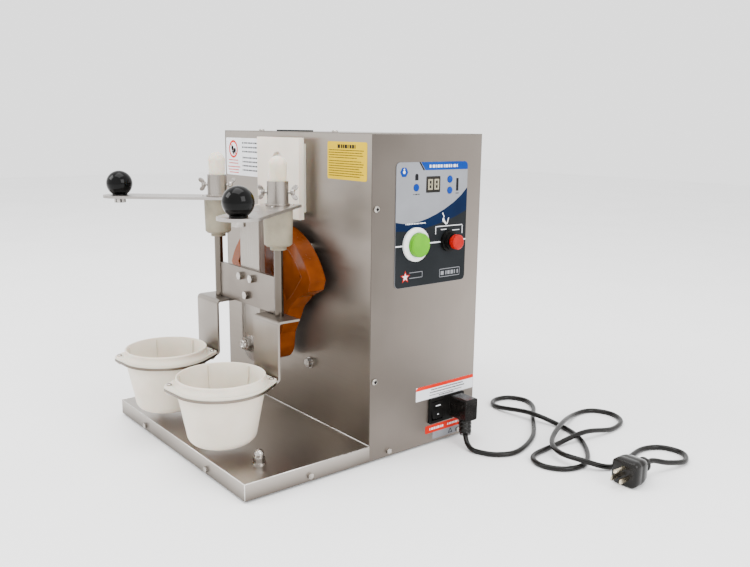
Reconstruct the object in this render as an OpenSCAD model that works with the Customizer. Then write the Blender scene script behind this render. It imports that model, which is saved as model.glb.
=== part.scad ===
// Two-cup drink shaking machine: a crank behind the front panel carries a frame with two cup
// bowls round in a circle, and two clamp heads on the frame's rods hold the cups down.
// Origin: centre of the base on the floor. +Z up, -Y towards the user, +X to the right.

/* [Base and housing] */
// Width of the base and of the housing
base_w = 366; // [360:1:400]
// Depth of the base from the tray's front to the housing's back
base_d = 373; // [370:1:400]
// Depth of the housing
housing_d = 189; // [186:1:200]
// Height of the housing above the skirt's lower edge
housing_h = 420; // [418:1:440]
// Height of the tray's folded skirt
skirt_h = 21; // [20:0.5:24]
// How far the rubber feet stand below the skirt
foot_h = 3; // [2:0.5:6]
// Thickness of the sheet steel
sheet_t = 1.5; // [1:0.1:2]

/* [Crank] */
// Height of the crank axis above the skirt's lower edge
crank_h = 183; // [181:1:185]
// Throw of the crank, half the shaking stroke
crank_r = 53; // [48:1:54]
// Radius of the counterweight
weight_r = 113; // [100:1:114]
// Thickness of the counterweight
weight_t = 25; // [18:1:26]

/* [Shaking frame] */
// Distance of each rod from the middle
rod_x = 80; // [76:1:84]
// Diameter of the rods
rod_d = 12; // [10:1:12]
// Distance of the rods in front of the housing
rod_out = 70; // [70:1:72]
// Width of the guide bar
bar_w = 49; // [44:1:50]
// Distance of the bowls in front of the housing
bowl_out = 156; // [154:1:157]
// Outer diameter of a bowl's rim
bowl_d = 115; // [110:1:115]

/* [Clamp heads] */
// Length of an arm from the rod to the centre of its knob
arm_len = 139; // [125:1:142]
// Width of an arm
arm_w = 50; // [44:1:52]
// Angle of the stored arms away from the sideways direction
arm_angle = 50; // [45:1:55]
// Diameter of a knob
knob_d = 36; // [30:1:38]

/* [Control panel] */
// Width of the control panel
panel_w = 125; // [120:1:130]
// Height of the control panel
panel_h = 160; // [155:1:165]

/* [Power cord] */
// Diameter of the cord
cord_d = 7; // [6.5:0.5:7.5]

/* [Hidden] */
$fn = 64;

// Shared places. Heights are above the skirt's lower edge until up() adds the feet.
half_w = base_w / 2;
front_y = base_d / 2 - housing_d;      // front face of the housing
back_y = base_d / 2;                   // back face of the housing
tray_y = -base_d / 2;                  // front edge of the tray
function out(d) = front_y - d;         // y of a plane d in front of the housing
function up(h) = foot_h + h;           // z of a height h above the skirt's lower edge
inner_x = half_w - sheet_t;            // inner face of a side cover
tray_top = up(skirt_h);
gap = 0.2;                             // clearance between flat faces that move apart
fit = 0.08;                            // radial clearance of a running fit

steel = [0.72, 0.7, 0.67];
dark_steel = [0.45, 0.44, 0.43];
zinc = [0.8, 0.8, 0.82];
orange = [0.85, 0.4, 0.08];
cream = [0.92, 0.9, 0.86];
black = [0.06, 0.06, 0.06];

// ---- helpers ----

// Cylinder along +Y from y0 to y1 at x, z
module rod_y(x, z, y0, y1, r) {
    translate([x, y0, z]) rotate([-90, 0, 0]) cylinder(r = r, h = y1 - y0);
}

// Cylinder along +X from x0 to x1 at y, z
module rod_x_dir(x0, x1, y, z, r) {
    translate([x0, y, z]) rotate([0, 90, 0]) cylinder(r = r, h = x1 - x0);
}

// Box between two corners
module span(low, high) {
    translate(low) cube(high - low);
}

// Hexagonal prism of a given width across its flats, along +Z
module hexagon(flats, h) {
    cylinder(r = flats / sqrt(3), h = h, $fn = 6);
}

// Pan head screw along -Z: head above z = 0, shank below
module pan_screw(head_r, head_h, shank_r, shank_l) {
    difference() {
        union() {
            cylinder(r = head_r, h = head_h * 0.6);
            translate([0, 0, head_h * 0.6])
                cylinder(r1 = head_r, r2 = head_r * 0.7, h = head_h * 0.4);
        }
        for (a = [0, 90]) rotate(a)
            translate([-head_r * 0.6, -0.5, head_h * 0.5]) cube([head_r * 1.2, 1, head_h]);
    }
    translate([0, 0, -shank_l]) cylinder(r = shank_r, h = shank_l);
}

// Hexagon bolt along -Z: head above z = 0, shank below
module hex_bolt(flats, head_h, shank_r, shank_l) {
    hexagon(flats, head_h);
    translate([0, 0, -shank_l]) cylinder(r = shank_r, h = shank_l);
}

// Points on an arc, from angle a0 to a1 about c
function arc(c, r, a0, a1, n) =
    [for (i = [0 : n]) c + r * [cos(a0 + (a1 - a0) * i / n), sin(a0 + (a1 - a0) * i / n)]];

// Rounded rectangle outline about the origin
function rounded(w, h, r) = concat(
    arc([w / 2 - r, h / 2 - r], r, 0, 90, 6), arc([r - w / 2, h / 2 - r], r, 90, 180, 6),
    arc([r - w / 2, r - h / 2], r, 180, 270, 6), arc([w / 2 - r, r - h / 2], r, 270, 360, 6));

// Plate on the right cover: outline in (y, z) about a centre, from x0 to x1
module side_plate(x0, x1, y, z, outline) {
    translate([x0, y, z]) rotate([90, 0, 90]) linear_extrude(x1 - x0) polygon(outline);
}

// ---- base ----

foot_x = 140;
foot_front = out(139);
foot_back = back_y - 37;
foot_places = [[-foot_x, foot_front], [foot_x, foot_front], [-foot_x, foot_back], [foot_x, foot_back]];
stud_r = 4;
skirt_bolt_z = up(7);
front_bolt_x = [-96, 89];
side_bolt_y = [out(93), out(-32), out(-160)];

module base_tray() {
    color(steel) difference() {
        union() {
            span([-half_w, tray_y, up(0)], [half_w, front_y, tray_top]);
            span([-inner_x + gap, front_y - 1, up(0)], [inner_x - gap, back_y - sheet_t - gap, tray_top]);
        }
        span([-half_w + sheet_t, tray_y + sheet_t, up(0) - 1],
             [half_w - sheet_t, front_y - sheet_t, tray_top - sheet_t]);
        span([-inner_x + gap + sheet_t, front_y - sheet_t - 1, up(0) - 1],
             [inner_x - gap - sheet_t, back_y - 2 * sheet_t - gap, tray_top - sheet_t]);
        for (p = foot_places) translate([p[0], p[1], 0]) cylinder(r = stud_r, h = tray_top + 1);
        for (x = front_bolt_x) rod_y(x, skirt_bolt_z, tray_y - 1, tray_y + 3, 2);
        for (s = [-1, 1], y = side_bolt_y)
            rod_x_dir(s * inner_x - 2, s * inner_x + 2, y, skirt_bolt_z, 2);
    }
}

module rubber_feet() {
    color(black) for (p = foot_places) translate([p[0], p[1], 0]) difference() {
        union() {
            cylinder(r1 = 14, r2 = 16, h = 8);
            translate([0, 0, 8]) cylinder(r = 16, h = tray_top - sheet_t - 8);
        }
        translate([0, 0, 6]) cylinder(r = stud_r, h = tray_top);
    }
}

module foot_studs() {
    color(zinc) for (p = foot_places) translate([p[0], p[1], 0]) {
        translate([0, 0, 6]) cylinder(r = stud_r, h = tray_top - 6 + 2);
        translate([0, 0, tray_top]) cylinder(r = 8.5, h = 1.6);
        translate([0, 0, tray_top + 1.6]) hexagon(13, 6.5);
        translate([0, 0, tray_top + 8]) cylinder(r = 6.1, h = 4);
        translate([0, 0, tray_top + 12]) sphere(r = 6.1);
    }
}

module tray_bolts() {
    color(zinc) {
        for (x = front_bolt_x) translate([x, tray_y, skirt_bolt_z]) rotate([90, 0, 0]) hex_bolt(7, 3, 2, 5);
        for (s = [-1, 1], y = side_bolt_y)
            translate([s * half_w, y, skirt_bolt_z]) rotate([0, s * 90, 0]) hex_bolt(7, 3, 2, 5);
    }
}

// ---- housing ----

top_z = up(housing_h);
side_screw_z = [up(107), up(328)];
side_screw_y = out(-6.8);
top_screw_x = [-86, 95];
top_screw_y = out(-8);
back_screw_x = [-172, 172];
back_screw_z = [up(40), up(380)];
bolt_x = 49;
bolt_dz = 81;
start_y = out(-71.4);
start_z = up(279.5);
stop_y = out(-129.5);
stop_z = up(280);
display_y = out(-100.3);
display_z = up(355.4);
display_w = 25;
display_h = 21;
inlet_y = out(-135.5);
inlet_z = up(45.5);
inlet_w = 66;
inlet_h = 36;
panel_y = out(-37.5 - panel_w / 2);
panel_z = up(384.3) - panel_h / 2;

module front_panel() {
    color(steel) difference() {
        span([-inner_x + gap, front_y, tray_top], [inner_x - gap, front_y + sheet_t, top_z - sheet_t]);
        rod_y(0, up(crank_h), front_y - 1, front_y + 3, 24);
        for (sx = [-1, 1], sz = [-1, 1])
            rod_y(sx * bolt_x, up(crank_h) + sz * bolt_dz, front_y - 1, front_y + 3, 4);
    }
}

module side_cover() {
    difference() {
        span([inner_x, front_y, up(0)], [half_w, back_y - sheet_t, top_z - sheet_t]);
        for (z = side_screw_z) rod_x_dir(inner_x - 1, half_w + 1, side_screw_y, z, 2);
        for (y = side_bolt_y) if (y > front_y) rod_x_dir(inner_x - 1, half_w + 1, y, skirt_bolt_z, 2);
    }
}

vent_n = 8;
module vents(w, pitch) {
    for (i = [0 : vent_n - 1])
        translate([0, 0, (i - (vent_n - 1) / 2) * pitch]) cube([w, 10, 4], center = true);
}

module right_cover() {
    color(steel) difference() {
        side_cover();
        rod_x_dir(inner_x - 1, half_w + 1, start_y, start_z, 14);
        rod_x_dir(inner_x - 1, half_w + 1, stop_y, stop_z, 11);
        side_plate(inner_x - 1, half_w + 1, display_y, display_z, rounded(display_w, display_h, 1));
        side_plate(inner_x - 1, half_w + 1, inlet_y, inlet_z, rounded(inlet_w - 8, inlet_h - 6, 2));
    }
}

module left_cover() {
    color(steel) difference() {
        mirror([1, 0, 0]) side_cover();
        translate([-half_w, out(-100), up(110)]) rotate(90) vents(90, 12);
    }
}

module back_cover() {
    color(steel) difference() {
        span([-half_w, back_y - sheet_t, up(0)], [half_w, back_y, top_z - sheet_t]);
        for (x = [-80, 80]) translate([x, back_y, up(120)]) vents(90, 12);
        for (x = back_screw_x, z = back_screw_z) rod_y(x, z, back_y - 3, back_y + 1, 2);
    }
}

module top_cover() {
    color(steel) difference() {
        span([-half_w, front_y, top_z - sheet_t], [half_w, back_y, top_z]);
        for (x = top_screw_x) translate([x, top_screw_y, top_z - 3]) cylinder(r = 2, h = 4);
    }
}

module cover_screws() {
    color(dark_steel) {
        for (s = [-1, 1], z = side_screw_z)
            translate([s * half_w, side_screw_y, z]) rotate([0, s * 90, 0]) pan_screw(4.2, 2.6, 2, 6);
        for (x = top_screw_x) translate([x, top_screw_y, top_z]) pan_screw(4.2, 2.6, 2, 6);
        for (x = back_screw_x, z = back_screw_z)
            translate([x, back_y, z]) rotate([-90, 0, 0]) pan_screw(4.2, 2.6, 2, 6);
    }
}

slab_t = 20;                           // front of the slab before the housing
slab_plate = 8;                        // thickness of its plate, on a narrower back
slab_low = up(304);
slab_high = up(412);
groove_w = 27;
groove_top = up(393);
module guide_slab() {
    color(cream) difference() {
        union() {
            span([-53, out(slab_t), slab_low], [53, out(slab_t - slab_plate), slab_high]);
            span([-40, out(slab_t - slab_plate), slab_low + 8], [40, front_y, slab_high - 8]);
        }
        span([-groove_w / 2, out(slab_t + 1), slab_low - 1],
             [groove_w / 2, out(slab_t - 5.6), groove_top - groove_w / 2]);
        rod_y(0, groove_top - groove_w / 2, out(slab_t + 1), out(slab_t - 5.6), groove_w / 2);
    }
}

// ---- drive inside the housing ----

shaft_r = 10;
plate_y = front_y + 80;                // front face of the inner frame
pulley_y = front_y + 36;
pulley_w = 18;
crank_pulley_r = 63;
motor_pulley_r = 23;
motor_x = -60;
motor_z = up(82);
motor_r = 50;

module inner_frame() {
    color(dark_steel) difference() {
        union() {
            span([-135, plate_y, tray_top], [135, plate_y + 5, up(262)]);
            span([-135, plate_y + 5, tray_top], [135, plate_y + 30, tray_top + 5]);
        }
        rod_y(0, up(crank_h), plate_y - 1, plate_y + 6, 24);
        rod_y(motor_x, motor_z, plate_y - 1, plate_y + 6, 14);
    }
}

// Flanged bearing unit from y0, its flange towards the sheet it is bolted to
module bearing_unit(y0, flange_first) {
    difference() {
        union() {
            rod_y(0, up(crank_h), y0, y0 + 16, 23);
            translate([0, y0 + (flange_first ? 0 : 12), up(crank_h)]) rotate([-90, 0, 0]) linear_extrude(4)
                polygon([for (a = [0 : 30 : 330]) 36 * [cos(a + 15), sin(a + 15)]]);
        }
        rod_y(0, up(crank_h), y0 - 1, y0 + 17, shaft_r + fit);
    }
}

module bearings() {
    color(dark_steel) {
        bearing_unit(front_y + sheet_t, true);
        bearing_unit(plate_y - 16, false);
        difference() {
            span([-60, front_y + sheet_t, up(crank_h - 92)], [60, front_y + sheet_t + 4, up(crank_h + 92)]);
            rod_y(0, up(crank_h), front_y, front_y + 10, 20);
        }
        for (sx = [-1, 1], sz = [-1, 1])
            translate([sx * bolt_x, front_y, up(crank_h) + sz * bolt_dz]) rotate([90, 0, 0]) {
                cylinder(r = 7.5, h = 1.4);
                translate([0, 0, 1.4]) hex_bolt(11, 5, 3.5, 20);
            }
    }
}

module motor() {
    color([0.3, 0.35, 0.4]) difference() {
        union() {
            rod_y(motor_x, motor_z, plate_y + 5, plate_y + 93, motor_r);
            span([motor_x + 20, plate_y + 30, motor_z + motor_r - 12],
                 [motor_x + 60, plate_y + 70, motor_z + motor_r + 6]);
        }
        rod_y(motor_x, motor_z, plate_y + 4, plate_y + 40, 7 + fit);
    }
}

module motor_shaft() {
    color(zinc) rod_y(motor_x, motor_z, pulley_y - 3, plate_y + 38, 7);
}

// Grooved pulley with flanges along +Y
module pulley(x, z, r, bore) {
    difference() {
        union() {
            rod_y(x, z, pulley_y, pulley_y + pulley_w, r - 3);
            for (y = [pulley_y, pulley_y + pulley_w - 2]) rod_y(x, z, y, y + 2, r);
        }
        rod_y(x, z, pulley_y - 1, pulley_y + pulley_w + 1, bore);
    }
}

module motor_pulley() { color(dark_steel) pulley(motor_x, motor_z, motor_pulley_r, 7); }

module crank_pulley() {
    color(dark_steel) difference() {
        pulley(0, up(crank_h), crank_pulley_r, shaft_r);
        for (a = [0 : 60 : 300]) rotate_about_crank(a)
            rod_y(36, up(crank_h), pulley_y - 1, pulley_y + pulley_w + 1, 10);
    }
}

module rotate_about_crank(a) {
    translate([0, 0, up(crank_h)]) rotate([0, a, 0]) translate([0, 0, -up(crank_h)]) children();
}

// Outline round both pulleys, t outside their grooves
belt_gap = 0.3;
module belt_outline(t) {
    hull() {
        translate([motor_x, motor_z]) circle(r = motor_pulley_r - 3 + belt_gap + t);
        translate([0, up(crank_h)]) circle(r = crank_pulley_r - 3 + belt_gap + t);
    }
}

module drive_belt() {
    color(black) translate([0, pulley_y + pulley_w - 3, 0]) rotate([90, 0, 0])
        linear_extrude(pulley_w - 6) difference() {
            belt_outline(2.5);
            belt_outline(0);
        }
}

module control_board() {
    color([0.1, 0.4, 0.2]) {
        span([inner_x - 30, out(-56), up(200)], [inner_x - 28.4, out(-156), up(385)]);
        for (z = [up(225), up(250)]) span([inner_x - 46, out(-76), z], [inner_x - 30, out(-92), z + 19]);
        span([inner_x - 60, out(-105), up(300)], [inner_x - 30, out(-140), up(335)]);
        for (y = [out(-66), out(-146)], z = [up(212), up(330)]) rod_x_dir(inner_x - 28.4, inner_x, y, z, 3);
    }
}

// ---- control panel ----

panel_t = 1;
face_x = half_w + panel_t;
key_r = 4.5;
key_places = [[-70.9, 352.1], [-129.9, 361.2], [-130.1, 346.8]];

module control_panel() {
    color([0.3, 0.32, 0.36]) difference() {
        side_plate(half_w, face_x, panel_y, panel_z, rounded(panel_w, panel_h, 6));
        rod_x_dir(half_w - 1, face_x + 1, start_y, start_z, 14);
        rod_x_dir(half_w - 1, face_x + 1, stop_y, stop_z, 11);
        side_plate(half_w - 1, face_x + 1, display_y, display_z, rounded(display_w, display_h, 1));
        for (p = key_places) rod_x_dir(half_w - 1, face_x + 1, out(p[0]), up(p[1]), key_r + 0.3);
    }
}

module display_module() {
    color([0.2, 0.2, 0.2])
        side_plate(half_w - 10, face_x + 0.2, display_y, display_z,
                   rounded(display_w - 0.6, display_h - 0.6, 0.8));
}

module start_bezel() {
    color([0.95, 0.95, 0.95]) difference() {
        union() {
            rod_x_dir(face_x, face_x + 3, start_y, start_z, 22);
            translate([face_x + 3, start_y, start_z]) rotate([0, 90, 0])
                cylinder(r1 = 22, r2 = 19.5, h = 2.5);
            rod_x_dir(half_w - 26, face_x, start_y, start_z, 13.8);
            rod_x_dir(inner_x - 9, inner_x, start_y, start_z, 19);
        }
        rod_x_dir(face_x + 0.8, face_x + 6, start_y, start_z, 16);
        rod_x_dir(half_w - 27, face_x + 1, start_y, start_z, 11);
    }
}

module start_button() {
    color([0.55, 0.85, 0.15]) {
        rod_x_dir(face_x + 3.6, face_x + 11, start_y, start_z, 15.6);
        translate([face_x + 11, start_y, start_z]) rotate([0, 90, 0]) cylinder(r1 = 15.6, r2 = 13.6, h = 1.6);
        rod_x_dir(half_w - 18, face_x + 3.6, start_y, start_z, 10.6);
    }
}

module stop_base() {
    color(black) difference() {
        union() {
            rod_x_dir(face_x, face_x + 5, stop_y, stop_z, 14);
            rod_x_dir(face_x + 5, face_x + 10.5, stop_y, stop_z, 11.5);
            rod_x_dir(half_w - 26, face_x, stop_y, stop_z, 10.8);
            rod_x_dir(inner_x - 8, inner_x, stop_y, stop_z, 15);
        }
        rod_x_dir(half_w - 27, face_x + 11, stop_y, stop_z, 7.6);
    }
}

module stop_button() {
    color([0.85, 0.15, 0.12]) {
        rod_x_dir(face_x + 14, face_x + 20, stop_y, stop_z, 9.8);
        translate([face_x + 20, stop_y, stop_z]) rotate([0, 90, 0]) cylinder(r1 = 9.8, r2 = 8, h = 1.5);
        rod_x_dir(half_w - 18, face_x + 14, stop_y, stop_z, 7.2);
    }
}

module key(i) {
    color([0.1, 0.35, 0.75])
        rod_x_dir(half_w + 0.5, face_x + 0.6, out(key_places[i][0]), up(key_places[i][1]), key_r);
}
module key_set() { key(0); }
module key_up() { key(1); }
module key_down() { key(2); }

// ---- mains inlet, connector, cord and plug ----

inlet_face = half_w + 3;
socket_y = out(-151.5);
rocker_y = out(-117);
rocker_w = 20;
rocker_tall = 26;
pocket_z = up(46.5);

module inlet_module() {
    color(black) difference() {
        union() {
            side_plate(half_w, inlet_face, inlet_y, inlet_z, rounded(inlet_w, inlet_h, 3));
            side_plate(half_w - 34, half_w, inlet_y, inlet_z, rounded(inlet_w - 9, inlet_h - 7, 2));
        }
        side_plate(half_w - 15, inlet_face + 1, socket_y, pocket_z, rounded(24.6, 18.6, 2));
        side_plate(half_w - 12, inlet_face + 1, rocker_y, inlet_z,
                   rounded(rocker_w + 0.8, rocker_tall + 1.4, 1));
    }
}

// Rocker cap: pivots about a line along Y in the middle of its opening
rocker_tilt = 8;
rocker_pivot_x = inlet_face - 4;
module rocker_switch() {
    color([0.1, 0.1, 0.1]) {
        translate([rocker_pivot_x, rocker_y - rocker_w / 2, inlet_z]) rotate([0, -rocker_tilt, 0])
            rotate([-90, 0, 0]) linear_extrude(rocker_w)
                polygon([[-5, -3], [4, -rocker_tall / 2 + 1], [5.5, -rocker_tall / 2 + 1.6], [4.2, 0],
                         [5.5, rocker_tall / 2 - 1.6], [4, rocker_tall / 2 - 1], [-5, 3]]);
        rod_y(rocker_pivot_x, inlet_z, rocker_y - rocker_w / 2 - 0.3, rocker_y + rocker_w / 2 + 0.3, 2.2);
    }
}

relief_top = [half_w + 22, socket_y + 0.5, up(35)];
relief_tip = [half_w + 34, socket_y - 10, up(14)];
relief_dir = (relief_tip - relief_top) / norm(relief_tip - relief_top);

// Cylinder or cone from point a to point b
module between(a, b, r1, r2) {
    d = b - a;
    translate(a) rotate([0, acos(d[2] / norm(d)), atan2(d[1], d[0])]) cylinder(r1 = r1, r2 = r2, h = norm(d));
}

module power_connector() {
    color(black) {
        difference() {
            union() {
                side_plate(inlet_face, half_w + 34, socket_y + 0.5, up(46.5), rounded(23, 31, 3));
                side_plate(half_w - 13, inlet_face, socket_y, pocket_z, rounded(24, 18, 1.8));
                between(relief_top - 4 * relief_dir, relief_tip, 9, 7.6);
            }
            for (p = [[0, 4], [-7, -3], [7, -3]])
                translate([half_w - 14, socket_y + p[0], pocket_z + p[1]]) cube([14, 2.4, 5]);
        }
    }
}

plug_centre_z = 17;
plug_neck = [424, 256, plug_centre_z];
plug_face_y = 204;

// Route of the cord's centre line: down from the relief, along the floor and up to the plug
lie = cord_d / 2;
over = lie + cord_d + 1;               // where one stretch crosses above another
near = lie + 0.7;                      // beside a crossing
cord_route = [
    relief_tip, [227.5, 134, 7], [244, 132, lie], [269, 146, lie], [279, 178, lie], [256, 236, lie],
    [206, 296, lie], [178, 330, lie], [150, 344, lie], [124, 331, lie], [121, 302, lie],
    [144, 284, near], [206, 288, over], [254, 298, near], [298, 284, lie], [338, 250, lie],
    [360, 214, lie], [354, 182, lie], [328, 167, lie], [302, 182, lie], [297, 236, lie + 0.5],
    [304, 290, over], [310, 346, near], [299, 386, lie], [271, 402, lie], [243, 388, lie],
    [240, 350, near], [264, 290, over + 0.4], [294, 230, over + 0.2], [326, 204, over],
    [362, 206, over + 0.2], [386, 232, near], [384, 274, lie], [378, 318, lie], [391, 345, lie],
    [419, 350, lie], [436, 326, near], [432, 292, 10], [425, 268, 16.8], plug_neck
];

// Smooth curve through the route, with steps rings to each stretch
steps = 2;
function spline(p, i, t) =
    let (a = p[max(i - 1, 0)], b = p[i], c = p[i + 1], d = p[min(i + 2, len(p) - 1)])
    0.5 * (2 * b + (c - a) * t + (2 * a - 5 * b + 4 * c - d) * t * t + (3 * b - a - 3 * c + d) * t * t * t);
function smooth(p) = concat(
    [for (i = [0 : len(p) - 2], k = [0 : steps - 1]) spline(p, i, k / steps)], [p[len(p) - 1]]);
function direction(p, i) =
    let (v = p[min(i + 1, len(p) - 1)] - p[max(i - 1, 0)]) v / norm(v);
function ring(p, i, r, n) =
    let (d = direction(p, i), side = cross(d, [0, 0, 1]) / norm(cross(d, [0, 0, 1])), top = cross(side, d))
    [for (k = [0 : n - 1]) p[i] + r * (cos(360 * k / n) * side + sin(360 * k / n) * top)];

module tube(p, r, n) {
    m = len(p);
    points = [for (i = [0 : m - 1], q = ring(p, i, r, n)) q];
    sides = [for (i = [0 : m - 2], k = [0 : n - 1])
        [i * n + k, i * n + (k + 1) % n, (i + 1) * n + (k + 1) % n, (i + 1) * n + k]];
    ends = [[for (k = [n - 1 : -1 : 0]) k], [for (k = [0 : n - 1]) (m - 1) * n + k]];
    polyhedron(points, concat(sides, ends));
}

module power_cord() {
    color(black) tube(smooth(cord_route), cord_d / 2, 8);
}

module power_plug() {
    color(black) {
        translate([plug_neck[0], plug_face_y, plug_centre_z]) rotate([-90, 0, 0]) {
            linear_extrude(30) polygon(rounded(35, 33, 8));
            translate([0, 0, 30]) cylinder(r1 = 15, r2 = 6, h = 14);
            translate([0, 0, 44]) cylinder(r = 5.5, h = plug_neck[1] - plug_face_y - 44);
        }
    }
    color(zinc) translate([plug_neck[0], plug_face_y, plug_centre_z]) rotate([90, 0, 0]) {
        translate([0, 7.5, 0]) cylinder(r = 2.4, h = 21);
        for (s = [-1, 1]) translate([s * 6.35 - 0.75, -7.5, 0]) cube([1.5, 6.3, 17.5]);
    }
}

// ---- crank ----

web_back = out(12);
web_front = out(12 + weight_t);
pin_z = up(crank_h - crank_r);
bar_back = out(57);
bar_front = out(66);
journal_r = 8;
arm_lobe_r = 28;

// Right half of the counterweight's outline about the crank axis, from the top down
corner_a = 24.5;
function weight_side(r) = concat(
    arc([0, 0], r, 90, corner_a, 14),
    [[r * 0.87, r * 0.29], [r * 0.65, r * 0.18], [r * 0.46, r * 0.01], [r * 0.39, -r * 0.13], [30, -38]],
    arc([0, -crank_r], arm_lobe_r, 0, -90, 8));
function mirrored(p) = [for (i = [len(p) - 1 : -1 : 0]) [-p[i][0], p[i][1]]];
function weight_outline(r) = concat(weight_side(r), mirrored(weight_side(r)));

rim_w = 17;
recess_t = 3;
function recess_side() = concat(
    arc([0, 0], weight_r - rim_w, 90, corner_a + 6, 12), [[62, 24], [44, 10], [34, 26]],
    arc([0, 0], 42, 42, 90, 6));

module counterweight() {
    color(orange) difference() {
        translate([0, web_back, up(crank_h)]) rotate([90, 0, 0])
            linear_extrude(weight_t) polygon(weight_outline(weight_r));
        translate([0, web_front + recess_t, up(crank_h)]) rotate([90, 0, 0]) linear_extrude(recess_t + 1)
            polygon(concat(recess_side(), mirrored(recess_side())));
        rod_y(0, up(crank_h), web_front - 1, web_back + 1, shaft_r);
        rod_y(0, pin_z, web_front - 1, web_back + 1, journal_r);
        for (s = [-1, 1]) rod_y(s * 76, up(crank_h + 50), web_front - 1, web_back + 1, 1.8);
    }
}

module crank_shaft() {
    color(zinc) {
        rod_y(0, up(crank_h), web_front - 4, plate_y + 4, shaft_r);
        translate([0, web_front, up(crank_h)]) rotate([90, 0, 0]) difference() {
            hexagon(30, 3.9);
            translate([0, 0, -1]) cylinder(r = shaft_r, h = 6);
        }
    }
}

module crank_pin() {
    color(zinc) {
        rod_y(0, pin_z, bar_front - 1, web_back - 2, journal_r);
        difference() {
            rod_y(0, pin_z, bar_back + gap, web_front, 16);
            rod_y(0, pin_z, bar_back, web_front + 1, journal_r);
        }
        translate([0, bar_front - gap, pin_z]) rotate([90, 0, 0]) difference() {
            union() {
                cylinder(r = 12, h = 1.8);
                translate([0, 0, 1.8]) hexagon(17, 7.5);
            }
            translate([0, 0, -1]) cylinder(r = journal_r, h = 1.8);
        }
    }
}

// ---- shaking frame ----

bar_top = up(320);
bush_r = 12;
roller_z = up(310);
roller_r = 12.5;
plate_low = up(186);
plate_high = up(235);
cross_t = 5;
cross_front = bar_front - cross_t;
rod_r = rod_d / 2;
flange_z = up(182);
flange_t = 3;
rod_top = up(350);
plate_bolts = [[-15, 224], [15, 224], [0, 199]];
rod_bolt_r = 3;

module guide_bar() {
    color(steel) difference() {
        union() {
            span([-bar_w / 2, bar_front, pin_z], [bar_w / 2, bar_back, bar_top]);
            rod_y(0, pin_z, bar_front, bar_back, bar_w / 2);
        }
        rod_y(0, pin_z, bar_front - 1, bar_back + 1, bush_r);
        rod_y(0, roller_z, bar_front - 1, bar_back + 1, 5);
        for (p = plate_bolts) rod_y(p[0], up(p[1]), bar_front - 1, bar_back + 1, 3);
    }
}

module pin_bush() {
    color([0.7, 0.5, 0.2]) difference() {
        rod_y(0, pin_z, bar_front, bar_back, bush_r);
        rod_y(0, pin_z, bar_front - 1, bar_back + 1, journal_r + fit);
    }
}

// The roller stops just short of the slab's face, so the frame can be carried round
module guide_roller() {
    color(cream) difference() {
        rod_y(0, roller_z, bar_back + 4, out(slab_t) - 1.2, roller_r);
        rod_y(0, roller_z, bar_back + 3, out(slab_t), 5);
    }
    color(zinc) {
        rod_y(0, roller_z, bar_front - 6, out(slab_t) - 2, 5);
        rod_y(0, roller_z, bar_back, bar_back + 4, 9);
    }
}

module cross_plate() {
    color(steel) difference() {
        span([-rod_x + 2, cross_front, plate_low], [rod_x - 2, bar_front, plate_high]);
        for (s = [-1, 1]) translate([s * rod_x, out(rod_out), 0]) cylinder(r = rod_r, h = plate_high + 1);
        for (p = plate_bolts) rod_y(p[0], up(p[1]), cross_front - 1, bar_front + 1, 3);
    }
}

module frame_bolts() {
    color(zinc) {
        for (p = plate_bolts) translate([p[0], cross_front, up(p[1])]) rotate([90, 0, 0]) {
            hex_bolt(10, 5, 3, cross_t + 9 + 6);
            translate([0, 0, -cross_t - 14]) difference() {
                hexagon(10, 5);
                translate([0, 0, -1]) cylinder(r = 3, h = 7);
            }
        }
        for (s = [-1, 1]) translate([s * rod_x, out(rod_out), flange_z]) rotate([180, 0, 0]) {
            cylinder(r = 8, h = 1.5);
            translate([0, 0, 1.5]) hex_bolt(10, 5, rod_bolt_r, 1.5 + flange_t + 14);
        }
        for (s = [-1, 1], e = [-1, 1])
            translate([s * rod_x, bowl_y, 0]) rotate(ear_angle) translate([e * ear_out, 0, 0]) {
                translate([0, 0, collar_z + 4]) pan_screw(3.3, 2.2, ear_bolt_r, 4 + ring_t + 5);
                translate([0, 0, ring_z - 3.2]) difference() {
                    hexagon(7, 3.2);
                    translate([0, 0, -1]) cylinder(r = ear_bolt_r, h = 5);
                }
            }
    }
}

module clamp_rods() {
    color(zinc) for (s = [-1, 1]) translate([s * rod_x, out(rod_out), 0]) difference() {
        union() {
            translate([0, 0, flange_z + flange_t])
                cylinder(r = rod_r, h = rod_top - flange_z - flange_t - 1.5);
            translate([0, 0, rod_top - 1.5]) cylinder(r1 = rod_r, r2 = rod_r - 1.2, h = 1.5);
        }
        translate([0, 0, flange_z]) cylinder(r = rod_bolt_r, h = flange_t + 14.5);
    }
}

// Bracket: top flange under the rod, web in front, lower flange and bowl ring
bracket_w = 60;
web_y = out(91);
ring_z = up(105);
ring_t = 3;
ring_r = 61;
ring_hole_r = 55.4;
bowl_y = out(bowl_out);
ear_angle = 64;
ear_r = 5.6;
ear_out = 62.8;
ear_bolt_r = 2;
bend_r = 6;

function bracket_profile() = concat(
    [[out(58), flange_z + flange_t]],
    arc([web_y + bend_r, flange_z + flange_t - bend_r], bend_r, 90, 180, 6),
    arc([web_y - bend_r + flange_t, ring_z + bend_r], bend_r - flange_t, 0, -90, 6),
    [[web_y - 14, ring_z + flange_t], [web_y - 14, ring_z]],
    arc([web_y - bend_r + flange_t, ring_z + bend_r], bend_r, -90, 0, 6),
    arc([web_y + bend_r, flange_z + flange_t - bend_r], bend_r - flange_t, 180, 90, 6),
    [[out(58), flange_z]]);

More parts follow.
